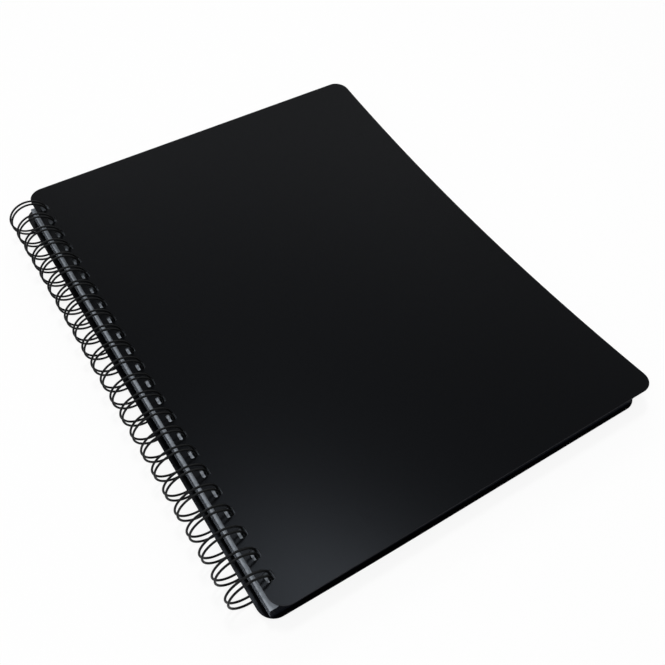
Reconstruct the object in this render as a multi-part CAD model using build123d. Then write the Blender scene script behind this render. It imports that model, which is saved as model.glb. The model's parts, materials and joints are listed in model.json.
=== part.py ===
from build123d import *
import math
import os

# Wire-bound display book with clear pockets, in millimetres.
# The book lies closed on its back: +X runs from the spine to the fore-edge, +Y along the
# spine to the pockets' open mouths, +Z up. The origin is under the middle of its outer box.

# Covers
COVER_WIDTH = 235.0
COVER_LENGTH = 313.0
COVER_THICKNESS = 0.6
COVER_CORNER_RADIUS = 9.0
FRONT_HOLE_MARGIN = 5.5
BACK_HOLE_MARGIN = 6.0
BACK_FOOT_INSET = 1.5

# How the front cover is warped: lift of its corners above the middle of the same edge
SPINE_LIFT_FOOT = 2.2
SPINE_LIFT_HEAD = 4.0
FORE_EDGE_LIFT_FOOT = 9.6
FORE_EDGE_LIFT_HEAD = 10.2

# How the back cover bends up over the wire
BACK_BEND_LENGTH = 80.0
BACK_OVER_WIRE = 0.8

# Twin-loop binding wire
LOOP_COUNT = 23
LOOP_PITCH = 12.7
LOOP_OUTER_DIAMETER = 24.0
WIRE_DIAMETER = 1.2
TWIN_SPACING = 3.0
ROOT_BEND_RADIUS = 1.5
ROOT_ANGLE = 281.0
TIP_ANGLE = -59.5
ARCS_PER_LEG = 4
WIRE_END_STUB = 1.5

# Punched holes: longer across in the pockets, whose spine edges lie flush in the closed book
COVER_HOLE_ACROSS = 4.4
POCKET_HOLE_ACROSS = 7.0
HOLE_ALONG = 5.0

# Pockets and the sheets in them
POCKET_COUNT = 20
FILM_THICKNESS = 0.05
INSERT_WIDTH = 210.0
INSERT_LENGTH = 297.0
INSERT_THICKNESS = 0.08
INSERT_FACE_PLAY = 0.015
INSERT_SIDE_PLAY = 0.8
INSERT_FOOT_PLAY = 0.5
MOUTH_OVER_INSERT = 1.0
SPINE_STRIP_WIDTH = 13.0
FORE_EDGE_WELD = 2.4
FOOT_WELD = 2.5
POCKET_HOLE_MARGIN = 6.0
POCKET_FOOT_INSET = 3.4

# Where the wire stands in the holes, from a hole's middle towards the fore-edge.
# The top pocket lies loose, further from the spine than the pockets below it.
WIRE_IN_FRONT_HOLE = 1.0
WIRE_IN_BACK_HOLE = 0.1
WIRE_IN_TOP_POCKET = -2.1

# Clearances between the leaves
FRONT_COVER_CLEARANCE = 0.3
BACK_SPINE_CLEARANCE = 0.4
BACK_FORE_EDGE_CLEARANCE = 0.05
LEAF_FORE_EDGE_GAP = 0.025

# Blanks and punches are cut this much oversize and trimmed to the outline
TRIM = 2.0
GAP_POINTS_PER_ARC = 12

wire_radius = WIRE_DIAMETER / 2
ring_radius = LOOP_OUTER_DIAMETER / 2 - wire_radius
ring_z = LOOP_OUTER_DIAMETER / 2

# The front cover's holes stand at the height of the ring's middle, so its fore-edge is the
# part of the book that reaches furthest from the ring's axis.
fore_edge_reach = ring_radius - WIRE_IN_FRONT_HOLE - FRONT_HOLE_MARGIN + COVER_WIDTH
ring_x = -(fore_edge_reach - LOOP_OUTER_DIAMETER / 2) / 2
fore_edge_x = ring_x + fore_edge_reach

slot_thickness = INSERT_THICKNESS + 2 * INSERT_FACE_PLAY
slot_width = INSERT_WIDTH + 2 * INSERT_SIDE_PLAY
pocket_thickness = slot_thickness + 2 * FILM_THICKNESS
pocket_width = SPINE_STRIP_WIDTH + slot_width + FORE_EDGE_WELD
pocket_length = FOOT_WELD + INSERT_FOOT_PLAY + INSERT_LENGTH + MOUTH_OVER_INSERT
pocket_foot_y = -COVER_LENGTH / 2 + POCKET_FOOT_INSET
slot_x = SPINE_STRIP_WIDTH - POCKET_HOLE_MARGIN


def ring_crossing(height):
    """X of the ring's fore-edge side at a height above the table."""
    return ring_x + math.sqrt(ring_radius**2 - (height - ring_z) ** 2)


def arc_low_point(left, right, half_span):
    """Lowest rise of an arc through (-half_span, left), (0, 0) and (half_span, right)."""
    tilt = (right - left) / (2 * half_span)
    bow = (right + left) / (2 * half_span**2)
    return -(tilt**2) / (4 * bow)


def punch(sheet, hole_x, across):
    """Cut the row of binding holes, of that width across the spine, through a sheet."""
    row = GridLocations(0, LOOP_PITCH, 1, LOOP_COUNT)
    reach = Vector(hole_x, 0, ring_z)
    tool = Box(across, HOLE_ALONG, 2 * LOOP_OUTER_DIAMETER)
    return sheet - [Pos(reach) * place * tool for place in row]


def cover_outline(left_x, foot_inset):
    """Tall prism with a cover's rounded outline, its spine edge at left_x, cut in at the foot."""
    outline = RectangleRounded(COVER_WIDTH, COVER_LENGTH - foot_inset, COVER_CORNER_RADIUS)
    prism = extrude(outline, amount=LOOP_OUTER_DIAMETER, both=True)
    return Pos(left_x + COVER_WIDTH / 2, foot_inset / 2, ring_z) * prism


# Heights of the stack, at the spine holes and at the fore-edge
back_lift = WIRE_DIAMETER + BACK_OVER_WIRE
back_hole_x = ring_crossing(back_lift + COVER_THICKNESS / 2) - WIRE_IN_BACK_HOLE
front_hole_x = ring_x + ring_radius - WIRE_IN_FRONT_HOLE
front_spine_top = ring_z + COVER_THICKNESS / 2
spine_sag = arc_low_point(SPINE_LIFT_FOOT, SPINE_LIFT_HEAD, COVER_LENGTH / 2)
stack_spine_top = front_spine_top - COVER_THICKNESS + spine_sag - FRONT_COVER_CLEARANCE
stack_spine_foot = back_lift + COVER_THICKNESS + BACK_SPINE_CLEARANCE
spine_step = (stack_spine_top - stack_spine_foot) / POCKET_COUNT
pocket_hole_x = (ring_crossing(stack_spine_top) + ring_crossing(stack_spine_foot)) / 2
fore_edge_step = pocket_thickness + LEAF_FORE_EDGE_GAP
stack_fore_foot = COVER_THICKNESS + BACK_FORE_EDGE_CLEARANCE
stack_fore_top = stack_fore_foot + POCKET_COUNT * fore_edge_step
front_fore_top = stack_fore_top + FRONT_COVER_CLEARANCE + COVER_THICKNESS


def bowed_section(x, middle_top, lift_foot, lift_head):
    """Section of the front cover's blank at one x: two arcs a cover's thickness apart."""
    reach = COVER_LENGTH / 2 + TRIM
    drop = Vector(0, 0, -COVER_THICKNESS)
    foot = Vector(x, -reach, middle_top + lift_foot)
    middle = Vector(x, 0, middle_top)
    head = Vector(x, reach, middle_top + lift_head)
    edges = [
        Edge.make_three_point_arc(foot, middle, head),
        Edge.make_line(head, head + drop),
        Edge.make_three_point_arc(head + drop, middle + drop, foot + drop),
        Edge.make_line(foot + drop, foot),
    ]
    return Face(Wire(edges))


def make_front_cover():
    """Front cover: straight along the spine, bowed along the fore-edge, corners lifted."""
    slope = (front_fore_top - front_spine_top) / (fore_edge_x - front_hole_x)
    left_x = front_hole_x - FRONT_HOLE_MARGIN
    blank_left = left_x - TRIM
    blank_right = fore_edge_x + TRIM
    left_top = front_spine_top + slope * (blank_left - front_hole_x)
    right_top = front_spine_top + slope * (blank_right - front_hole_x)
    spine = bowed_section(blank_left, left_top, SPINE_LIFT_FOOT, SPINE_LIFT_HEAD)
    fore_edge = bowed_section(blank_right, right_top, FORE_EDGE_LIFT_FOOT, FORE_EDGE_LIFT_HEAD)
    blank = loft([spine, fore_edge], ruled=True)
    return punch(blank & cover_outline(left_x, 0), front_hole_x, COVER_HOLE_ACROSS)


def make_back_cover():
    """Back cover: flat on the table, bent up gently over the wire along the spine."""
    left_x = back_hole_x - BACK_HOLE_MARGIN
    bend_x = back_hole_x + BACK_BEND_LENGTH
    under_radius = (BACK_BEND_LENGTH**2 + back_lift**2) / (2 * back_lift)
    upper_radius = under_radius - COVER_THICKNESS
    blank_right = left_x + COVER_WIDTH + TRIM
    sweep_angle = math.asin((bend_x - left_x + TRIM) / under_radius)
    y = -COVER_LENGTH / 2 - TRIM

    def on_bend(radius, share):
        angle = sweep_angle * share
        x = bend_x - radius * math.sin(angle)
        return Vector(x, y, under_radius - radius * math.cos(angle))

    under = [on_bend(under_radius, share) for share in (0, 0.5, 1)]
    upper = [on_bend(upper_radius, share) for share in (1, 0.5, 0)]
    under_right = Vector(blank_right, y, 0)
    upper_right = Vector(blank_right, y, COVER_THICKNESS)
    edges = [
        Edge.make_line(under_right, under[0]),
        Edge.make_three_point_arc(*under),
        Edge.make_line(under[2], upper[0]),
        Edge.make_three_point_arc(*upper),
        Edge.make_line(upper[2], upper_right),
        Edge.make_line(upper_right, under_right),
    ]
    blank = extrude(Face(Wire(edges)), amount=COVER_LENGTH + 2 * TRIM, dir=(0, 1, 0))
    return punch(blank & cover_outline(left_x, BACK_FOOT_INSET), back_hole_x, COVER_HOLE_ACROSS)


def make_pocket():
    """One pocket, flat: two films welded on three sides and punched, open at the mouth."""
    low = Align.MIN
    corner = Pos(-POCKET_HOLE_MARGIN, pocket_foot_y, 0)
    sheet = corner * Box(pocket_width, pocket_length, pocket_thickness, align=(low, low, low))
    mouth = Pos(slot_x, pocket_foot_y + FOOT_WELD, FILM_THICKNESS)
    slot = mouth * Box(slot_width, pocket_length, slot_thickness, align=(low, low, low))
    return punch(sheet - slot, 0, POCKET_HOLE_ACROSS)


def make_insert():
    """One black paper sheet, flat, where it lies in its pocket."""
    low = Align.MIN
    x = slot_x + INSERT_SIDE_PLAY
    y = pocket_foot_y + FOOT_WELD + INSERT_FOOT_PLAY
    z = FILM_THICKNESS + INSERT_FACE_PLAY
    return Pos(x, y, z) * Box(INSERT_WIDTH, INSERT_LENGTH, INSERT_THICKNESS, align=(low, low, low))


def leaf_place(number):
    """Where pocket number 1 (top) to POCKET_COUNT (lowest) lies: height, shift and tilt."""
    below = POCKET_COUNT - number
    spine_z = stack_spine_foot + below * spine_step
    fore_edge_z = stack_fore_foot + below * fore_edge_step
    hole_x = pocket_hole_x
    if number == 1:
        hole_x = ring_crossing(spine_z + pocket_thickness / 2) - WIRE_IN_TOP_POCKET
    tilt = math.degrees(math.atan2(spine_z - fore_edge_z, fore_edge_x - hole_x))
    return Location((hole_x, 0, spine_z), (0, tilt, 0))


def ring_point(angle, y):
    """Point of the ring's centre line at an angle from +X, at one place along the spine."""
    turn = math.radians(angle)
    return Vector(ring_x + ring_radius * math.cos(turn), y, ring_z + ring_radius * math.sin(turn))


def ring_tangent(angle):
    """Direction of growing angle along the ring."""
    turn = math.radians(angle)
    return Vector(-math.sin(turn), 0, math.cos(turn))


def leg_arcs(y, start, end):
    """Arc edges of one leg of a finger round the ring, from one angle to another."""
    step = (end - start) / ARCS_PER_LEG
    arcs = []
    for index in range(ARCS_PER_LEG):
        angles = [start + step * (index + share) for share in (0, 0.5, 1)]
        arcs.append(Edge.make_three_point_arc(*[ring_point(angle, y) for angle in angles]))
    return arcs


def root_bend(y, side):
    """Quarter turn between a leg's root at y and the bar that lies on its side (-1 or +1)."""
    along = ring_tangent(ROOT_ANGLE) * ROOT_BEND_RADIUS
    outward = Vector(0, side * ROOT_BEND_RADIUS, 0)
    middle = ring_point(ROOT_ANGLE, y) + outward
    half = math.sqrt(0.5)
    points = [middle + along, middle + (along - outward) * half, middle - outward]
    if side > 0:
        points.reverse()
    return Edge.make_three_point_arc(*points)


def finger_edges(y):
    """Edges of one twin finger: root bend, leg, tip, leg back and root bend."""
    first = y - TWIN_SPACING / 2
    second = y + TWIN_SPACING / 2
    apex = ring_point(TIP_ANGLE, y) - ring_tangent(TIP_ANGLE) * (TWIN_SPACING / 2)
    tip = Edge.make_three_point_arc(
        ring_point(TIP_ANGLE, first), apex, ring_point(TIP_ANGLE, second)
    )
    legs_out = leg_arcs(first, ROOT_ANGLE, TIP_ANGLE)
    legs_back = leg_arcs(second, TIP_ANGLE, ROOT_ANGLE)
    return [root_bend(first, -1), *legs_out, tip, *legs_back, root_bend(second, 1)]


def wire_fingers():
    """Edges of every finger along the spine, one list for each."""
    first_y = -LOOP_PITCH * (LOOP_COUNT - 1) / 2
    return [finger_edges(first_y + LOOP_PITCH * index) for index in range(LOOP_COUNT)]


def make_binding_wire(fingers):
    """The whole binding: one wire bent into fingers that are joined by bars at their roots."""
    stub = Vector(0, WIRE_END_STUB, 0)
    start = fingers[0][0] @ 0
    finish = fingers[-1][-1] @ 1
    edges = [Edge.make_line(start - stub, start)]
    for index, finger in enumerate(fingers):
        edges += finger
        if index + 1 < LOOP_COUNT:
            edges.append(Edge.make_line(finger[-1] @ 1, fingers[index + 1][0] @ 0))
    edges.append(Edge.make_line(finish, finish + stub))
    path = Wire(edges)
    section = Plane(origin=start - stub, z_dir=(0, 1, 0)) * Circle(wire_radius)
    return sweep(section, path=path), path.length


def least_wire_gap(fingers):
    """Least free gap between parts of the wire that lie apart along it, over two fingers."""
    points = []
    travelled = 0.0
    for edge in fingers[0] + fingers[1]:
        for index in range(GAP_POINTS_PER_ARC):
            share = index / GAP_POINTS_PER_ARC
            points.append((travelled + edge.length * share, edge @ share))
        travelled += edge.length
    apart = math.pi * TWIN_SPACING / 2
    gaps = []
    for index, (here, point) in enumerate(points):
        for there, other in points[index + 1 :]:
            if there - here > apart:
                gaps.append((point - other).length - WIRE_DIAMETER)
    return min(gaps)


def main():
    os.makedirs("parts", exist_ok=True)
    fingers = wire_fingers()
    wire, wire_length = make_binding_wire(fingers)
    print(f"wire length {wire_length:.1f} mm, least gap to itself {least_wire_gap(fingers):.2f} mm")
    expected = wire_length * math.pi * wire_radius**2
    print(f"wire volume {wire.volume:.1f} mm3, section times length {expected:.1f} mm3")
    pieces = {
        "front_cover": make_front_cover(),
        "back_cover": make_back_cover(),
        "binding_wire": wire,
    }
    pocket = make_pocket()
    insert = make_insert()
    for number in range(1, POCKET_COUNT + 1):
        place = leaf_place(number)
        pieces[f"pocket_{number:02d}"] = place * pocket
        pieces[f"insert_{number:02d}"] = place * insert
    for name, piece in pieces.items():
        export_step(piece, f"parts/{name}.step")


main()
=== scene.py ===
"""Looks of a wire-bound display book with clear pockets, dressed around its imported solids.

Everything is in metres, in the book's own frame: +X runs from the spine to the fore-edge, +Y along
the spine to the pockets' mouths, and +Z up from the table that the closed book lies on.
"""

import json
import logging
import math
from abc import ABC, abstractmethod
from dataclasses import dataclass, field
from enum import Enum
from typing import Any

import bmesh
import bpy
from mathutils import Matrix, Vector

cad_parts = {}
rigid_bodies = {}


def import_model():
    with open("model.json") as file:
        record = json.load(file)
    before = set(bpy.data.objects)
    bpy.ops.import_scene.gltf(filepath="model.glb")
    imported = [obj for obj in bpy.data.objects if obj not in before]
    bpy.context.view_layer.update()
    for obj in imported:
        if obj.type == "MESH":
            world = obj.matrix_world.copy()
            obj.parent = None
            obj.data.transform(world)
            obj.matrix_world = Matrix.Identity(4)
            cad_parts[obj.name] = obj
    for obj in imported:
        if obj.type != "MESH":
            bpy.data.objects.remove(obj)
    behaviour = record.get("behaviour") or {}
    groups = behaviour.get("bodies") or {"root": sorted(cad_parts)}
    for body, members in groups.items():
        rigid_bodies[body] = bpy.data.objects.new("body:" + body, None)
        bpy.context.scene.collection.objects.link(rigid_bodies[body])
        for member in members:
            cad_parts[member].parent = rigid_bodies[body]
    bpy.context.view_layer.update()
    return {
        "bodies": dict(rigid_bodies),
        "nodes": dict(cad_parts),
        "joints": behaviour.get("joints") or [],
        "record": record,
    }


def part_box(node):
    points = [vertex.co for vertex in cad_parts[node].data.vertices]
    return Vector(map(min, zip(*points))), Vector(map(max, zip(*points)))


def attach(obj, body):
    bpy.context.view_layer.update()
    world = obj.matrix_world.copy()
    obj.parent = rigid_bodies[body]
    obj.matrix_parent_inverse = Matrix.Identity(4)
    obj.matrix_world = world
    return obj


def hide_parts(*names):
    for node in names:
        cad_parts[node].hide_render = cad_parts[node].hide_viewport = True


LOG = logging.getLogger("display_book")
MM = 0.001
MERGE_GAP = 1e-7
TOUCH_GAP = 1e-6
QUARTER_TURN = math.radians(90)
ACROSS = Vector((1, 0, 0))
ALONG = Vector((0, 1, 0))
# Face mark of the cut edges: it carries their painted highlight and their dull roughness.
RIM_HIGHLIGHT_MARK = "rim"
FLAT_MAP = "flat_sleeve"
FILM_IOR = 1.49

Colour = tuple[float, float, float, float]
SocketValue = bpy.types.NodeSocket | Colour | float


class Slot(Enum):
    """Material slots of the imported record."""

    COVER = "cover_sheet"
    WIRE = "binding_wire"
    FILM = "pocket_film"
    PAPER = "black_paper"


class FilmPart(Enum):
    """Material slots of a pocket."""

    CLEAR = 0
    STRIP = 1
    WELD = 2
    # Cut faces, which carry the painted shade of the stack's sides.
    SHADED_CUT = 3


class Side(Enum):
    """Which side of a finger's leg its root bar lies on."""

    FOOT = -1
    HEAD = 1


class Rounding(Enum):
    """What a bevel rounds."""

    EDGES = "EDGES"
    CORNERS = "VERTICES"


class Driver(Enum):
    """What the roughness of a finish follows."""

    RELIEF = "relief"
    DRIFT = "drift"


def grey(level: float, blue: float = 1.0) -> Colour:
    """An opaque grey of one level, with its blue scaled."""
    return (level, level, level * blue, 1.0)


class NodeBoard:
    """Adds and joins the nodes of one shader tree."""

    def __init__(self, tree: bpy.types.NodeTree) -> None:
        """Keep the tree that the nodes go on."""
        self.tree = tree

    def add(
        self, kind: str, inputs: dict[str | int, SocketValue] | None = None, **settings: object
    ) -> bpy.types.Node:
        """Add one node.

        Args:
            kind: The node's type name.
            inputs: Socket name or index to a constant or to another node's output.
            settings: Properties of the node itself.

        Returns:
            The new node.
        """
        node = self.tree.nodes.new(kind)
        for name, value in settings.items():
            setattr(node, name, value)
        for socket, value in (inputs or {}).items():
            self.feed(node.inputs[socket], value)
        return node

    def feed(self, socket: bpy.types.NodeSocket, value: SocketValue) -> None:
        """Link an output to a socket, or set the socket's own constant.

        Args:
            socket: The input to feed.
            value: Another node's output, or a constant.
        """
        if isinstance(value, bpy.types.NodeSocket):
            self.tree.links.new(value, socket)
        else:
            socket.default_value = value


class EffectGroups:
    """Shader node groups that several finishes share."""

    GRAIN_DETAIL = 3.0
    GRAIN_ROUGHNESS = 0.6
    DRIFT_DETAIL = 2.0

    def __init__(self) -> None:
        """Build each group once."""
        self.grain = self._grain()
        self.knurl = self._knurl()

    @staticmethod
    def _new(
        name: str, inputs: dict[str, str], outputs: dict[str, str]
    ) -> tuple[bpy.types.NodeTree, NodeBoard, bpy.types.Node, bpy.types.Node]:
        """Start a group.

        Args:
            name: The group's name.
            inputs: Names and socket types of its inputs.
            outputs: Names and socket types of its outputs.

        Returns:
            The group, its board, its input node and its output node.
        """
        group = bpy.data.node_groups.new(name, "ShaderNodeTree")
        for label, kind in inputs.items():
            group.interface.new_socket(label, in_out="INPUT", socket_type=kind)
        for label, kind in outputs.items():
            group.interface.new_socket(label, in_out="OUTPUT", socket_type=kind)
        board = NodeBoard(group)
        return group, board, board.add("NodeGroupInput"), board.add("NodeGroupOutput")

    def _grain(self) -> bpy.types.NodeTree:
        """Make a fine grain with a slow drift of tone, both from 0 to 1.

        Returns:
            The group.
        """
        group, board, given, result = self._new(
            "surface_grain",
            {"Vector": "NodeSocketVector", "Grains": "NodeSocketFloat", "Patches": "NodeSocketFloat"},
            {"Height": "NodeSocketFloat", "Drift": "NodeSocketFloat"},
        )
        place = given.outputs["Vector"]
        fine = board.add(
            "ShaderNodeTexNoise",
            {
                "Vector": place,
                "Scale": given.outputs["Grains"],
                "Detail": self.GRAIN_DETAIL,
                "Roughness": self.GRAIN_ROUGHNESS,
            },
        )
        slow = board.add(
            "ShaderNodeTexNoise",
            {"Vector": place, "Scale": given.outputs["Patches"], "Detail": self.DRIFT_DETAIL},
        )
        board.feed(result.inputs["Height"], fine.outputs["Fac"])
        board.feed(result.inputs["Drift"], slow.outputs["Fac"])
        return group

    def _knurl(self) -> bpy.types.NodeTree:
        """Make the crossed ribs of a hot weld, from 0 to 1, on flat coordinates.

        Returns:
            The group.
        """
        group, board, given, result = self._new(
            "weld_knurl",
            {"Vector": "NodeSocketVector", "Ribs": "NodeSocketFloat"},
            {"Height": "NodeSocketFloat"},
        )
        waves = []
        for direction in ("X", "Y"):
            wave = board.add(
                "ShaderNodeTexWave",
                {"Vector": given.outputs["Vector"], "Scale": given.outputs["Ribs"]},
                wave_type="BANDS",
                bands_direction=direction,
                wave_profile="SIN",
            )
            waves.append(wave.outputs["Fac"])
        both = board.add("ShaderNodeMath", {0: waves[0], 1: waves[1]}, operation="MULTIPLY")
        board.feed(result.inputs["Height"], both.outputs[0])
        return group


class Surface:
    """A Principled material in the making, with the shared effects at hand."""

    def __init__(self, name: str, groups: EffectGroups) -> None:
        """Start the material.

        Args:
            name: The material's name.
            groups: The shared effects.
        """
        self.material = bpy.data.materials.new(name)
        self.material.use_nodes = True
        self.groups = groups
        tree = self.material.node_tree
        self.board = NodeBoard(tree)
        self.shader = tree.nodes["Principled BSDF"]

    def grain(self, grains: float, patches: float) -> bpy.types.Node:
        """Place the shared grain on the piece's own coordinates.

        Args:
            grains: Fine grains per metre.
            patches: Slow patches of tone per metre.

        Returns:
            The placed group.
        """
        place = self.board.add("ShaderNodeTexCoord").outputs["Object"]
        return self.board.add(
            "ShaderNodeGroup",
            {"Vector": place, "Grains": grains, "Patches": patches},
            node_tree=self.groups.grain,
        )

    def knurl(self, uv_map: str, ribs: float) -> bpy.types.NodeSocket:
        """Place the shared weld knurl on a flat map of the piece.

        Args:
            uv_map: The map's name.
            ribs: Ribs per metre.

        Returns:
            The knurl's height.
        """
        flat = self.board.add("ShaderNodeUVMap", uv_map=uv_map).outputs["UV"]
        node = self.board.add(
            "ShaderNodeGroup", {"Vector": flat, "Ribs": ribs}, node_tree=self.groups.knurl
        )
        return node.outputs["Height"]

    def mark(self, name: str) -> bpy.types.NodeSocket:
        """Value of an attribute that the mesh carries."""
        return self.board.add("ShaderNodeAttribute", attribute_name=name).outputs["Fac"]

    def mix(self, share: SocketValue, first: SocketValue, second: SocketValue) -> bpy.types.NodeSocket:
        """Mix two colours.

        Args:
            share: How much of the second one, from 0 to 1.
            first: The first colour.
            second: The second colour.

        Returns:
            The mixed colour.
        """
        node = self.board.add("ShaderNodeMix", {"Factor": share}, data_type="RGBA")
        sockets = [socket for socket in node.inputs if socket.type == "RGBA"]
        for socket, colour in zip(sockets, (first, second)):
            self.board.feed(socket, colour)
        return next(socket for socket in node.outputs if socket.type == "RGBA")

    def spread(self, value: SocketValue, low: SocketValue, high: SocketValue) -> bpy.types.NodeSocket:
        """Map a value from 0..1 to low..high."""
        node = self.board.add("ShaderNodeMapRange", {"Value": value, "To Min": low, "To Max": high})
        return node.outputs["Result"]

    def bump(self, height: bpy.types.NodeSocket, depth: float, strength: float) -> None:
        """Feed a bump of that depth in metres to the shader's normal."""
        node = self.board.add("ShaderNodeBump", {"Height": height, "Distance": depth, "Strength": strength})
        self.board.feed(self.shader.inputs["Normal"], node.outputs["Normal"])

    def set(self, **values: SocketValue) -> None:
        """Set or link inputs of the shader, with underscores for spaces."""
        for name, value in values.items():
            self.board.feed(self.shader.inputs[name.replace("_", " ")], value)


@dataclass(frozen=True)
class GrainFinish:
    """A finish that drifts between two tones under a fine relief.

    What a finish doesn't name is the shader's own default.
    """

    name: str
    dark: Colour
    pale: Colour
    grains_per_metre: float
    patches_per_metre: float
    smoothest: float
    roughest: float
    relief_depth: float
    relief_strength: float
    rough_by: Driver = Driver.RELIEF
    specular: float = 0.5
    sheen_tint: Colour = grey(1.0)
    transmission: float = 0.0
    ior: float = 1.5

    def build(self, groups: EffectGroups) -> bpy.types.Material:
        """Make the material.

        Args:
            groups: The shared effects.

        Returns:
            The new material.
        """
        surface = Surface(self.name, groups)
        grain = surface.grain(self.grains_per_metre, self.patches_per_metre)
        drift = grain.outputs["Drift"]
        relief = self.relief(surface, grain.outputs["Height"])
        driver = relief if self.rough_by is Driver.RELIEF else drift
        surface.set(
            Base_Color=self.tone(surface, drift),
            Roughness=self.polish(surface, driver),
            Specular_IOR_Level=self.specular,
            Specular_Tint=self.sheen_tint,
            Transmission_Weight=self.transmission,
            IOR=self.ior,
        )
        surface.bump(relief, self.relief_depth, self.relief_strength)
        return surface.material

    def relief(self, surface: Surface, grain: bpy.types.NodeSocket) -> bpy.types.NodeSocket:
        """Height of the relief from 0 to 1, here the grain itself."""
        return grain

    def tone(self, surface: Surface, drift: bpy.types.NodeSocket) -> bpy.types.NodeSocket:
        """Colour, which drifts from dark to pale."""
        return surface.mix(drift, self.dark, self.pale)

    def polish(self, surface: Surface, driver: bpy.types.NodeSocket) -> bpy.types.NodeSocket:
        """Roughness, which follows its driver."""
        return surface.spread(driver, self.smoothest, self.roughest)


@dataclass(frozen=True)
class CoverFinish(GrainFinish):
    """Black plastic sheet with a fine matt grain and dull cut edges, which are painted paler as a painted
    highlight.
    """

    name: str = "matt_black_sheet"
    dark: Colour = grey(0.0009, 1.2)
    pale: Colour = grey(0.0015, 1.2)
    grains_per_metre: float = 2600.0
    patches_per_metre: float = 9.0
    smoothest: float = 0.24
    roughest: float = 0.32
    relief_depth: float = 0.02 * MM
    relief_strength: float = 0.35
    specular: float = 0.045
    sheen_tint: Colour = (0.78, 0.87, 1.0, 1.0)
    # Paler than the sheet: a painted highlight along the cut edges and hole walls.
    cut_edge_highlight: Colour = grey(0.02, 1.1)
    cut_edge_roughness: float = 0.85

    def tone(self, surface: Surface, drift: bpy.types.NodeSocket) -> bpy.types.NodeSocket:
        """Colour of the black faces, with the cut edges painted paler as a painted highlight."""
        face = super().tone(surface, drift)
        return surface.mix(surface.mark(RIM_HIGHLIGHT_MARK), face, self.cut_edge_highlight)

    def polish(self, surface: Surface, driver: bpy.types.NodeSocket) -> bpy.types.NodeSocket:
        """Roughness of the satin faces and the dull cut edges."""
        satin = super().polish(surface, driver)
        return surface.spread(surface.mark(RIM_HIGHLIGHT_MARK), satin, self.cut_edge_roughness)


@dataclass(frozen=True)
class WireFinish(GrainFinish):
    """Satin black coat on steel wire."""

    name: str = "black_wire_coat"
    dark: Colour = grey(0.002)
    pale: Colour = grey(0.004)
    grains_per_metre: float = 5200.0
    patches_per_metre: float = 160.0
    smoothest: float = 0.34
    roughest: float = 0.46
    relief_depth: float = 0.008 * MM
    relief_strength: float = 0.4
    rough_by: Driver = Driver.DRIFT
    specular: float = 0.1
    sheen_tint: Colour = (0.88, 0.94, 1.0, 1.0)


@dataclass(frozen=True)
class FilmFinish(GrainFinish):
    """Clear pocket film with a very faint orange peel."""

    name: str = "clear_film"
    dark: Colour = (0.78, 0.82, 0.88, 1.0)
    pale: Colour = (0.82, 0.86, 0.91, 1.0)
    grains_per_metre: float = 400.0
    patches_per_metre: float = 30.0
    smoothest: float = 0.08
    roughest: float = 0.12
    relief_depth: float = 0.004 * MM
    relief_strength: float = 0.1
    rough_by: Driver = Driver.DRIFT
    transmission: float = 1.0
    ior: float = FILM_IOR


@dataclass(frozen=True)
class StripFinish(GrainFinish):
    """Punched spine strip of a pocket, two films pressed into one hazy strip."""

    name: str = "hazy_spine_strip"
    dark: Colour = (0.35, 0.39, 0.44, 1.0)
    pale: Colour = (0.41, 0.45, 0.50, 1.0)
    grains_per_metre: float = 700.0
    patches_per_metre: float = 60.0
    smoothest: float = 0.46
    roughest: float = 0.56
    relief_depth: float = 0.01 * MM
    relief_strength: float = 0.12
    specular: float = 0.15
    transmission: float = 0.4
    ior: float = FILM_IOR


@dataclass(frozen=True)
class WeldFinish(GrainFinish):
    """Weld lines of a pocket, hazy, with a pressed knurl in place of the grain."""

    name: str = "welded_film"
    dark: Colour = (0.58, 0.62, 0.69, 1.0)
    pale: Colour = (0.68, 0.72, 0.78, 1.0)
    grains_per_metre: float = 1400.0
    patches_per_metre: float = 24.0
    ribs_per_metre: float = 320.0
    smoothest: float = 0.22
    roughest: float = 0.36
    relief_depth: float = 0.02 * MM
    relief_strength: float = 0.3
    transmission: float = 0.9
    ior: float = FILM_IOR

    def relief(self, surface: Surface, grain: bpy.types.NodeSocket) -> bpy.types.NodeSocket:
        """Height of the pressed knurl."""
        return surface.knurl(FLAT_MAP, self.ribs_per_metre)


@dataclass(frozen=True)
class FilmEdgeShadeFinish(GrainFinish):
    """Cut edges of the stacked film, painted a dark navy as painted shade on the shaded sides of the stack.
    """

    name: str = "stack_side_painted_shade"
    # Near-black navy: painted shade, not the clear film's own colour.
    dark: Colour = (0.0012, 0.0016, 0.0034, 1.0)
    pale: Colour = (0.0026, 0.0034, 0.0066, 1.0)
    grains_per_metre: float = 1800.0
    patches_per_metre: float = 90.0
    smoothest: float = 0.6
    roughest: float = 0.75
    relief_depth: float = 0.01 * MM
    relief_strength: float = 0.3
    specular: float = 0.04


@dataclass(frozen=True)
class PaperFinish(GrainFinish):
    """Uncoated black paper with a soft fibre tooth."""

    name: str = "black_paper"
    dark: Colour = grey(0.006, 1.1)
    pale: Colour = grey(0.012, 1.1)
    grains_per_metre: float = 3800.0
    patches_per_metre: float = 420.0
    smoothest: float = 0.82
    roughest: float = 0.95
    relief_depth: float = 0.03 * MM
    relief_strength: float = 0.5
    specular: float = 0.2


@dataclass(frozen=True)
class Finishes:
    """The materials of the whole book."""

    cover: bpy.types.Material
    wire: bpy.types.Material
    film: bpy.types.Material
    strip: bpy.types.Material
    weld: bpy.types.Material
    film_edge: bpy.types.Material
    paper: bpy.types.Material

    @classmethod
    def build(cls) -> "Finishes":
        """Make every finish on one set of shared effects.

        Returns:
            The book's materials.
        """
        groups = EffectGroups()
        return cls(
            cover=CoverFinish().build(groups),
            wire=WireFinish().build(groups),
            film=FilmFinish().build(groups),
            strip=StripFinish().build(groups),
            weld=WeldFinish().build(groups),
            film_edge=FilmEdgeShadeFinish().build(groups),
            paper=PaperFinish().build(groups),
        )


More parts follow.
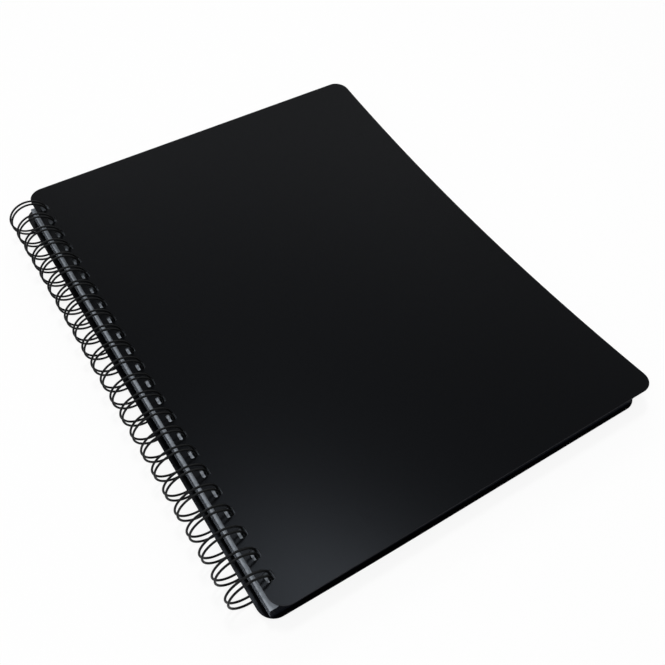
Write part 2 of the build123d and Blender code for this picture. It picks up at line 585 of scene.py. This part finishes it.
def publish(bm: bmesh.types.BMesh, name: str, materials: list[bpy.types.Material]) -> bpy.types.Object:
    """Turn a finished bmesh into an object at the origin.

    Args:
        bm: The mesh, which is freed.
        name: The piece's name.
        materials: Its material slots, in order.

    Returns:
        The new object.
    """
    mesh = bpy.data.meshes.new(name)
    bm.to_mesh(mesh)
    bm.free()
    for material in materials:
        mesh.materials.append(material)
    piece = bpy.data.objects.new(name, mesh)
    bpy.context.scene.collection.objects.link(piece)
    return piece


def settle(piece: bpy.types.Object, node: str, body: str) -> None:
    """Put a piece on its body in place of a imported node, and log it.

    Args:
        piece: The dressed piece.
        node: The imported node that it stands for.
        body: The body that it rides on.
    """
    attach(piece, body)
    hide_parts(node)
    LOG.info("%s stands for %s: %d faces", piece.name, node, len(piece.data.polygons))


def slice_mesh(bm: bmesh.types.BMesh, at_x: list[float], at_y: list[float]) -> None:
    """Cut every face of a mesh at each x and then at each y.

    Args:
        bm: The mesh.
        at_x: Places of the cuts that run along the spine.
        at_y: Places of the cuts that run across it.
    """
    cuts = [(ACROSS, x) for x in at_x] + [(ALONG, y) for y in at_y]
    for normal, place in cuts:
        geometry = bm.verts[:] + bm.edges[:] + bm.faces[:]
        bmesh.ops.bisect_plane(
            bm, geom=geometry, dist=MERGE_GAP, plane_co=normal * place, plane_no=normal
        )


def round_off(
    bm: bmesh.types.BMesh,
    geometry: list[bmesh.types.BMEdge] | list[bmesh.types.BMVert],
    radius: float,
    segments: int,
    what: Rounding = Rounding.EDGES,
) -> None:
    """Bevel edges or flat corners to a round.

    Args:
        bm: The mesh.
        geometry: The edges, or the vertices of the corners.
        radius: How far the round reaches to each side.
        segments: How many steps it has.
        what: Whether edges or corners are given.
    """
    bmesh.ops.bevel(
        bm, geom=geometry, offset=radius, offset_type="OFFSET", segments=segments, profile=0.5,
        affect=what.value, material=-1, clamp_overlap=True,
    )


@dataclass(frozen=True)
class HoleRow:
    """The row of punched binding holes along a cover's spine edge."""

    count: int = 23
    pitch: float = 12.7 * MM
    across: float = 4.4 * MM
    along: float = 5.0 * MM
    corner_radius: float = 0.7 * MM
    corner_segments: int = 4

    def middles(self) -> list[float]:
        """Y of each hole's middle."""
        first = -self.pitch * (self.count - 1) / 2
        return [first + self.pitch * index for index in range(self.count)]

    def holds(self, x: float, y: float, row_x: float) -> bool:
        """Whether a point lies inside a hole of the row at row_x."""
        inside_x = abs(x - row_x) < self.across / 2
        return inside_x and any(abs(y - middle) < self.along / 2 for middle in self.middles())


@dataclass
class CoverSheet(ABC):
    """A cover: a rounded sheet, punched along the spine, with softened cut edges."""

    name: str
    node: str
    body: str
    holes: HoleRow
    thickness: float = 0.6 * MM
    corner_radius: float = 9.0 * MM
    corner_segments: int = 14
    hole_margin: float = 5.5 * MM
    edge_radius: float = 0.12 * MM
    edge_segments: int = 2
    columns: int = 14
    end_rows: int = 3
    sharp_angle: float = math.radians(60)
    flat_normal: float = 0.98
    low: Vector = field(init=False)
    high: Vector = field(init=False)
    row_x: float = field(init=False)

    def __post_init__(self) -> None:
        """Read the sheet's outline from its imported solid."""
        self.low, self.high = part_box(self.node)
        self.row_x = self.low.x + self.hole_margin

    @abstractmethod
    def top(self, x: float, y: float) -> float:
        """Height of the sheet's upper face."""

    def build(self, finishes: Finishes) -> bpy.types.Object:
        """Make the sheet and put it on its body.

        Args:
            finishes: The book's materials.

        Returns:
            The new piece.
        """
        bm = bmesh.new()
        self._blank(bm)
        self._cut_grid(bm)
        self._punch(bm)
        self._thicken(bm)
        self._soften(bm)
        for vert in bm.verts:
            vert.co.z += self.top(vert.co.x, vert.co.y)
        piece = publish(bm, self.name, [finishes.cover])
        settle(piece, self.node, self.body)
        return piece

    def _blank(self, bm: bmesh.types.BMesh) -> None:
        """Draw the flat rounded outline as one face, at zero height.

        Args:
            bm: The sheet's mesh, still empty.
        """
        width = self.high.x - self.low.x
        length = self.high.y - self.low.y
        middle = ((self.low.x + self.high.x) / 2, (self.low.y + self.high.y) / 2, 0.0)
        size = Matrix.Diagonal((width, length, 1.0, 1.0))
        bmesh.ops.create_grid(bm, x_segments=1, y_segments=1, size=0.5, matrix=size)
        bmesh.ops.translate(bm, verts=bm.verts[:], vec=middle)
        round_off(bm, bm.verts[:], self.corner_radius, self.corner_segments, Rounding.CORNERS)

    def _cut_grid(self, bm: bmesh.types.BMesh) -> None:
        """Slice the face along the hole edges and at even steps, so that it can bend.

        Args:
            bm: The sheet's mesh, one flat face.
        """
        across = [self.row_x - self.holes.across / 2, self.row_x + self.holes.across / 2]
        step = (self.high.x - across[1]) / self.columns
        across += [across[1] + step * index for index in range(1, self.columns)]
        along = []
        for middle in self.holes.middles():
            along += [middle - self.holes.along / 2, middle + self.holes.along / 2]
        margin = self.high.y - along[-1]
        for index in range(1, self.end_rows + 1):
            share = margin * index / (self.end_rows + 1)
            along += [self.high.y - share, self.low.y + share]
        slice_mesh(bm, across, along)

    def _punch(self, bm: bmesh.types.BMesh) -> None:
        """Delete the faces that lie in the holes.

        Args:
            bm: The sheet's mesh, flat and sliced.
        """
        waste = []
        for face in bm.faces:
            middle = face.calc_center_median()
            if self.holes.holds(middle.x, middle.y, self.row_x):
                waste.append(face)
        bmesh.ops.delete(bm, geom=waste, context="FACES")

    def _thicken(self, bm: bmesh.types.BMesh) -> None:
        """Give the sheet its thickness, and the holes their rounded corners.

        Args:
            bm: The sheet's mesh, flat and punched.
        """
        made = bmesh.ops.extrude_face_region(bm, geom=bm.faces[:])
        lower = [item for item in made["geom"] if isinstance(item, bmesh.types.BMVert)]
        bmesh.ops.translate(bm, verts=lower, vec=(0, 0, -self.thickness))
        bmesh.ops.recalc_face_normals(bm, faces=bm.faces[:])
        corners = []
        for edge in bm.edges:
            if self._is_wall(edge) and self._is_hole_corner(edge.verts[0].co):
                corners.append(edge)
        round_off(bm, corners, self.holes.corner_radius, self.holes.corner_segments)

    def _is_wall(self, edge: bmesh.types.BMEdge) -> bool:
        """Whether an edge runs through the sheet's thickness."""
        return abs(edge.verts[0].co.z - edge.verts[1].co.z) > self.thickness / 2

    def _is_hole_corner(self, point: Vector) -> bool:
        """Whether a point lies at a corner of a hole.

        Args:
            point: A point of the flat sheet.

        Returns:
            True at a corner.
        """
        at_x = abs(abs(point.x - self.row_x) - self.holes.across / 2) < TOUCH_GAP
        gaps = [abs(abs(point.y - middle) - self.holes.along / 2) for middle in self.holes.middles()]
        return at_x and min(gaps) < TOUCH_GAP

    def _soften(self, bm: bmesh.types.BMesh) -> None:
        """Bevel the cut edges and mark them for their painted highlight and dull roughness, shaded apart
        from the flat of the sheet.

        Args:
            bm: The sheet's mesh, flat and thick.
        """
        rim = bm.faces.layers.float.new(RIM_HIGHLIGHT_MARK)
        edges = [
            edge for edge in bm.edges if edge.is_manifold and edge.calc_face_angle(0) > self.sharp_angle
        ]
        round_off(bm, edges, self.edge_radius, self.edge_segments)
        bm.normal_update()
        for face in bm.faces:
            face.smooth = True
            face[rim] = float(abs(face.normal.z) < self.flat_normal)
        for edge in bm.edges:
            edge.smooth = len({face[rim] for face in edge.link_faces}) == 1


@dataclass
class FrontCover(CoverSheet):
    """The front cover, bowed along the fore-edge, with lifted corners.

    The lifts are those at the corners of the bowed blank, which is larger than the sheet by the trim
    on every side.
    """

    spine_top: float = 12.3 * MM
    fore_edge_top: float = 6.25 * MM
    spine_lift_foot: float = 2.2 * MM
    spine_lift_head: float = 4.0 * MM
    fore_edge_lift_foot: float = 9.6 * MM
    fore_edge_lift_head: float = 10.2 * MM
    trim: float = 2.0 * MM

    @staticmethod
    def _arc(share: float, foot: float, head: float) -> float:
        """Rise at a share of the half length, -1 at the foot and 1 at the head."""
        return (head - foot) / 2 * share + (head + foot) / 2 * share**2

    def top(self, x: float, y: float) -> float:
        """Work out the height of the bowed upper face.

        Args:
            x: Place across the sheet.
            y: Place along the spine.

        Returns:
            The height over the table.
        """
        slope = (self.fore_edge_top - self.spine_top) / (self.high.x - self.row_x)
        share_x = (x - self.low.x + self.trim) / (self.high.x - self.low.x + 2 * self.trim)
        share_y = y / (self.high.y + self.trim)
        spine = self._arc(share_y, self.spine_lift_foot, self.spine_lift_head)
        fore_edge = self._arc(share_y, self.fore_edge_lift_foot, self.fore_edge_lift_head)
        middle = self.spine_top + slope * (x - self.row_x)
        return middle + spine + (fore_edge - spine) * share_x


@dataclass
class BackCover(CoverSheet):
    """The back cover, flat on the table and bent up over the wire."""

    hole_margin: float = 6.0 * MM
    bend_length: float = 80.0 * MM
    lift: float = 2.0 * MM

    def top(self, x: float, y: float) -> float:
        """Work out the height of the bent upper face.

        Args:
            x: Place across the sheet.
            y: Place along the spine, where the height is the same all along.

        Returns:
            The height over the table.
        """
        radius = (self.bend_length**2 + self.lift**2) / (2 * self.lift)
        past = max(0.0, self.row_x + self.bend_length - x)
        return self.thickness + radius - math.sqrt(radius**2 - past**2)


class WirePen:
    """Draws an open tube by carrying a ring of edges along runs and turns."""

    def __init__(self, start: Matrix, radius: float, sides: int) -> None:
        """Place the first ring.

        Args:
            start: Its place, with its axis along the matrix's Z.
            radius: The tube's radius.
            sides: How many sides it has.
        """
        self.bm = bmesh.new()
        bmesh.ops.create_circle(self.bm, cap_ends=False, segments=sides, radius=radius, matrix=start)
        self.ring = self.bm.edges[:]

    def run(self, way: Vector) -> None:
        """Carry the ring straight on.

        Args:
            way: The run's direction and length.
        """
        made = bmesh.ops.extrude_edge_only(self.bm, edges=self.ring)["geom"]
        verts = [item for item in made if isinstance(item, bmesh.types.BMVert)]
        bmesh.ops.translate(self.bm, verts=verts, vec=way)
        self.ring = [item for item in made if isinstance(item, bmesh.types.BMEdge)]

    def turn(self, centre: Vector, axis: Vector, angle: float, steps: int) -> None:
        """Carry the ring round an axis.

        Args:
            centre: A point on the axis.
            axis: The axis, for a right-handed turn.
            angle: The turn in radians.
            steps: How many steps it takes.
        """
        verts = list(dict.fromkeys(vert for edge in self.ring for vert in edge.verts))
        made = bmesh.ops.spin(
            self.bm, geom=verts + self.ring, cent=centre, axis=axis, angle=angle, steps=steps
        )
        self.ring = [item for item in made["geom_last"] if isinstance(item, bmesh.types.BMEdge)]

    def lift(self, name: str) -> bpy.types.Mesh:
        """Merge what was drawn into one mesh and put the pen away.

        Args:
            name: The mesh's name.

        Returns:
            The open tube.
        """
        bmesh.ops.remove_doubles(self.bm, verts=self.bm.verts[:], dist=MERGE_GAP)
        mesh = bpy.data.meshes.new(name)
        self.bm.to_mesh(mesh)
        self.bm.free()
        return mesh


@dataclass
class BindingWire:
    """One wire bent into twin fingers, closed into a row of rings.

    Angles run round the rings' axis, from +X towards +Z.
    """

    name: str
    node: str
    body: str
    holes: HoleRow
    axis: Vector
    diameter: float = 1.2 * MM
    twin_spacing: float = 3.0 * MM
    root_bend_radius: float = 1.5 * MM
    root_angle: float = math.radians(281.0)
    tip_angle: float = math.radians(-59.5)
    end_stub: float = 1.5 * MM
    sides: int = 12
    leg_steps: int = 52
    tip_steps: int = 10
    bend_steps: int = 5
    end_bevel: float = 0.18 * MM
    end_segments: int = 2
    ring_radius: float = field(init=False)

    def __post_init__(self) -> None:
        """Read the ring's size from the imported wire."""
        low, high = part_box(self.node)
        self.ring_radius = (high.z - low.z - self.diameter) / 2

    def build(self, finishes: Finishes) -> bpy.types.Object:
        """Draw one finger, repeat it along the spine, join the bars and put the wire on its body.

        Args:
            finishes: The book's materials.

        Returns:
            The new piece.
        """
        finger = self._finger()
        bm = bmesh.new()
        for y in self.holes.middles():
            before = len(bm.verts)
            bm.from_mesh(finger)
            bmesh.ops.translate(bm, verts=bm.verts[before:], vec=ALONG * y)
        bpy.data.meshes.remove(finger)
        self._join_bars(bm)
        self._close_ends(bm)
        bmesh.ops.recalc_face_normals(bm, faces=bm.faces[:])
        piece = publish(bm, self.name, [finishes.wire])
        settle(piece, self.node, self.body)
        return piece

    @staticmethod
    def _radial(angle: float) -> Vector:
        """Unit vector away from the rings' axis."""
        return Vector((math.cos(angle), 0, math.sin(angle)))

    @staticmethod
    def _tangent(angle: float) -> Vector:
        """Direction of growing angle along a ring."""
        return Vector((-math.sin(angle), 0, math.cos(angle)))

    def _ring_point(self, angle: float, y: float) -> Vector:
        """Point of the wire's centre line on a ring."""
        return Vector((self.axis.x, y, self.axis.z)) + self._radial(angle) * self.ring_radius

    def _root(self, y: float, side: Side) -> Vector:
        """Work out where a root bend meets its bar.

        Args:
            y: The leg's place along the spine.
            side: The side that the bar lies on.

        Returns:
            The point on the wire's centre line.
        """
        leg = self._ring_point(self.root_angle, y)
        bend = side.value * ALONG + self._tangent(self.root_angle)
        return leg + bend * self.root_bend_radius

    def _finger(self) -> bpy.types.Mesh:
        """Draw one twin finger at y 0: stub, root bend, leg, tip, leg back, root bend and stub.

        Returns:
            The finger, open at both ends.
        """
        half = self.twin_spacing / 2
        foot = self._root(-half, Side.FOOT)
        head = self._root(half, Side.HEAD)
        tip = self._ring_point(self.tip_angle, 0)
        stub = ALONG * self.end_stub
        out = self._radial(self.root_angle)
        bend = self._tangent(self.root_angle) * self.root_bend_radius
        leg = self.root_angle - self.tip_angle
        start = Matrix.Translation(foot - stub) @ Matrix.Rotation(QUARTER_TURN, 4, "X")
        pen = WirePen(start, self.diameter / 2, self.sides)
        pen.run(stub)
        pen.turn(foot - bend, out, -QUARTER_TURN, self.bend_steps)
        pen.turn(self.axis, ALONG, leg, self.leg_steps)
        pen.turn(tip, self._radial(self.tip_angle), 2 * QUARTER_TURN, self.tip_steps)
        pen.turn(self.axis, ALONG, -leg, self.leg_steps)
        pen.turn(head - bend, out, -QUARTER_TURN, self.bend_steps)
        pen.run(stub)
        return pen.lift("finger")

    def _join_bars(self, bm: bmesh.types.BMesh) -> None:
        """Bridge each finger's stub to the next one's, so that the wire is one length.

        Args:
            bm: The row of open fingers.
        """
        reach = self.twin_spacing / 2 + self.root_bend_radius + self.end_stub
        middles = self.holes.middles()
        open_edges = [edge for edge in bm.edges if edge.is_boundary]
        for here, there in zip(middles, middles[1:]):
            ends = (here + reach, there - reach)
            loops = []
            for edge in open_edges:
                y = edge.verts[0].co.y
                if min(abs(y - end) for end in ends) < self.end_stub / 2:
                    loops.append(edge)
            bmesh.ops.bridge_loops(bm, edges=loops)

    def _close_ends(self, bm: bmesh.types.BMesh) -> None:
        """Cap the two cut ends, soften them and shade the coat smooth.

        Args:
            bm: The wire's mesh, one open length.
        """
        rims = [edge for edge in bm.edges if edge.is_boundary]
        bmesh.ops.holes_fill(bm, edges=rims, sides=self.sides)
        round_off(bm, rims, self.end_bevel, self.end_segments)
        for face in bm.faces:
            face.smooth = len(face.verts) < self.sides


@dataclass
class Pocket:
    """One clear pocket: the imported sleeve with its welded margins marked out."""

    number: int
    spine_strip: float = 13.0 * MM
    spine_weld: float = 1.6 * MM
    fore_edge_weld: float = 2.4 * MM
    foot_weld: float = 2.5 * MM
    foot_rim: float = 0.2 * MM
    upright: float = 0.5
    low: Vector = field(init=False)
    strip_x: float = field(init=False)
    weld_x: float = field(init=False)
    fore_edge_x: float = field(init=False)
    foot_y: float = field(init=False)
    rim_y: float = field(init=False)

    def __post_init__(self) -> None:
        """Work out where the welds and the foot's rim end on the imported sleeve."""
        self.low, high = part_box(self.node)
        self.strip_x = self.low.x + self.spine_strip
        self.weld_x = self.strip_x - self.spine_weld
        self.fore_edge_x = high.x - self.fore_edge_weld
        self.foot_y = self.low.y + self.foot_weld
        self.rim_y = self.low.y + self.foot_rim

    @property
    def node(self) -> str:
        """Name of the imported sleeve, and of its body."""
        return f"pocket_{self.number:02d}"

    def build(self, source: bpy.types.Object, finishes: Finishes) -> bpy.types.Object:
        """Make the dressed pocket and put it on its body.

        Args:
            source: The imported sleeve.
            finishes: The book's materials.

        Returns:
            The new piece.
        """
        bm = bmesh.new()
        bm.from_mesh(source.data)
        bmesh.ops.remove_doubles(bm, verts=bm.verts[:], dist=MERGE_GAP)
        slice_mesh(bm, [self.weld_x, self.strip_x, self.fore_edge_x], [self.foot_y, self.rim_y])
        bm.normal_update()
        flat = bm.loops.layers.uv.new(FLAT_MAP)
        for face in bm.faces:
            face.material_index = self._part(face).value
            face.smooth = False
            for loop in face.loops:
                loop[flat].uv = (loop.vert.co.x - self.low.x, loop.vert.co.y - self.low.y)
        materials = [finishes.film, finishes.strip, finishes.weld, finishes.film_edge]
        piece = publish(bm, f"sleeve_{self.number:02d}", materials)
        settle(piece, self.node, self.node)
        return piece

    def _part(self, face: bmesh.types.BMFace) -> FilmPart:
        """Tell which finish a face takes.

        Args:
            face: A face of the sliced sleeve.

        Returns:
            The part of the pocket that it lies on.
        """
        middle = face.calc_center_median()
        # The foot rim and the upright cut faces take the painted shade of the stack's sides.
        if middle.y < self.rim_y or abs(face.normal.z) < self.upright:
            return FilmPart.SHADED_CUT
        if middle.x < self.weld_x:
            return FilmPart.STRIP
        if middle.x < self.strip_x or middle.x > self.fore_edge_x or middle.y < self.foot_y:
            return FilmPart.WELD
        return FilmPart.CLEAR


@dataclass(frozen=True)
class PhotoCamera:
    """The viewpoint of the photograph, for a square frame.

    The heading turns from +Y towards +X, and down is the angle below level.
    """

    position: tuple[float, float, float] = (-169.29 * MM, -279.05 * MM, 385.15 * MM)
    heading: float = math.radians(34.30)
    down: float = math.radians(51.55)
    roll: float = math.radians(2.36)
    focal_px: float = 850.15
    frame_px: float = 665.0
    sensor: float = 36.0
    nearest: float = 0.01
    farthest: float = 50.0

    def build(self) -> None:
        """Make the camera and use it."""
        ahead = Vector((
            math.sin(self.heading) * math.cos(self.down),
            math.cos(self.heading) * math.cos(self.down),
            -math.sin(self.down),
        ))
        level = Vector((math.cos(self.heading), -math.sin(self.heading), 0))
        above = level.cross(ahead)
        right = level * math.cos(self.roll) + above * math.sin(self.roll)
        up = above * math.cos(self.roll) - level * math.sin(self.roll)
        data = bpy.data.cameras.new("photo_camera")
        data.sensor_width = self.sensor
        data.lens = self.sensor * self.focal_px / self.frame_px
        data.clip_start = self.nearest
        data.clip_end = self.farthest
        camera = bpy.data.objects.new("photo_camera", data)
        turn = Matrix((right, up, -ahead)).transposed().to_4x4()
        camera.matrix_world = Matrix.Translation(self.position) @ turn
        bpy.context.scene.collection.objects.link(camera)
        bpy.context.scene.camera = camera


@dataclass(frozen=True)
class SoftBox:
    """A flat studio light that faces a point, its width level."""

    name: str
    place: tuple[float, float, float]
    aim: tuple[float, float, float]
    width: float
    height: float
    power: float

    def build(self) -> None:
        """Make the light."""
        data = bpy.data.lights.new(self.name, "AREA")
        data.shape = "RECTANGLE"
        data.size = self.width
        data.size_y = self.height
        data.energy = self.power
        lamp = bpy.data.objects.new(self.name, data)
        place = Vector(self.place)
        lamp.location = place
        lamp.rotation_mode = "QUATERNION"
        lamp.rotation_quaternion = (Vector(self.aim) - place).to_track_quat("-Z", "Y")
        bpy.context.scene.collection.objects.link(lamp)


@dataclass(frozen=True)
class Studio:
    """Pale floor, white surround and soft light."""

    floor_half: float = 4.0
    floor_colour: Colour = grey(0.9)
    white: Colour = grey(1.0)
    surround_light: float = 0.4
    floor_whitening: float = 0.86
    lights: tuple[SoftBox, ...] = (
        SoftBox("key", (-0.60, -0.50, 1.4), (0.0, 0.0, 0.0), width=1.0, height=1.0, power=9.0),
        SoftBox("foot_sheen", (0.16, 0.29, 1.2), (-0.08, -0.14, 0.0), width=0.22, height=0.22, power=5.4),
        SoftBox("head_sheen", (0.82, 1.58, 1.2), (0.30, 0.0, 0.0), width=1.4, height=0.4, power=5.6),
    )

    def build(self) -> None:
        """Make the floor, the world and the lights."""
        bpy.context.scene.view_settings.view_transform = "Standard"
        self._world()
        self._floor()
        for light in self.lights:
            light.build()

    @staticmethod
    def _seen(board: NodeBoard) -> bpy.types.NodeSocket:
        """Tell what the camera sees, directly, mirrored or through film, from what only lights.

        Args:
            board: The tree to put the nodes on.

        Returns:
            1 for what is seen and 0 for lighting.
        """
        path = board.add("ShaderNodeLightPath").outputs
        first = board.add(
            "ShaderNodeMath",
            {0: path["Is Camera Ray"], 1: path["Is Glossy Ray"]},
            operation="MAXIMUM",
        )
        both = board.add(
            "ShaderNodeMath",
            {0: first.outputs[0], 1: path["Is Transmission Ray"]},
            operation="MAXIMUM",
        )
        return both.outputs[0]

    def _world(self) -> None:
        """Make a surround that is white to look at and dimmer as a light."""
        world = bpy.data.worlds.new("white_surround")
        world.use_nodes = True
        bpy.context.scene.world = world
        board = NodeBoard(world.node_tree)
        shader = world.node_tree.nodes["Background"]
        strength = board.add(
            "ShaderNodeMapRange", {"Value": self._seen(board), "To Min": self.surround_light, "To Max": 1.0}
        )
        board.feed(shader.inputs["Color"], self.white)
        board.feed(shader.inputs["Strength"], strength.outputs["Result"])

    def _floor(self) -> None:
        """Make a large pale floor that keeps a soft shadow."""
        bm = bmesh.new()
        bmesh.ops.create_grid(bm, x_segments=1, y_segments=1, size=self.floor_half)
        material = bpy.data.materials.new("pale_floor")
        material.use_nodes = True
        tree = material.node_tree
        board = NodeBoard(tree)
        tree.nodes.remove(tree.nodes["Principled BSDF"])
        plain = board.add("ShaderNodeBsdfDiffuse", {"Color": self.floor_colour})
        glow = board.add("ShaderNodeEmission", {"Color": self.white, "Strength": 1.0})
        share = board.add(
            "ShaderNodeMath", {0: self._seen(board), 1: self.floor_whitening}, operation="MULTIPLY"
        )
        mix = board.add(
            "ShaderNodeMixShader", {0: share.outputs[0], 1: plain.outputs[0], 2: glow.outputs[0]}
        )
        board.feed(tree.nodes["Material Output"].inputs["Surface"], mix.outputs[0])
        publish(bm, "floor", [material])


@dataclass
class DisplayBook:
    """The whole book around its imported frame."""

    frame: dict[str, Any]
    holes: HoleRow

    def joint_place(self, name: str) -> Vector:
        """Point on a packed joint's axis."""
        return next(Vector(joint["pos_m"]) for joint in self.frame["joints"] if joint["name"] == name)

    def packed(self, prefix: str) -> list[bpy.types.Object]:
        """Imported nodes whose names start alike, in order."""
        nodes = self.frame["nodes"]
        return [nodes[name] for name in sorted(nodes) if name.startswith(prefix)]

    def build(self, finishes: Finishes) -> None:
        """Build and dress every piece.

        Args:
            finishes: The book's materials.
        """
        FrontCover("front_sheet", "front_cover", "front_cover", self.holes).build(finishes)
        BackCover("back_sheet", "back_cover", "spine", self.holes).build(finishes)
        axis = self.joint_place("front_cover_hinge")
        BindingWire("wire_loops", "binding_wire", "spine", self.holes, axis).build(finishes)
        for number, sleeve in enumerate(self.packed("pocket_"), start=1):
            Pocket(number).build(sleeve, finishes)
        for insert in self.packed("insert_"):
            insert.data.materials.clear()
            insert.data.materials.append(finishes.paper)
            LOG.info("%s keeps its packed shape", insert.name)


def main() -> None:
    """Build the book, its light and its camera."""
    logging.basicConfig(level=logging.INFO, format="%(name)s: %(message)s")
    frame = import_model()
    DisplayBook(frame, HoleRow()).build(Finishes.build())
    Studio().build()
    PhotoCamera().build()


if __name__ == "__main__":
    main()
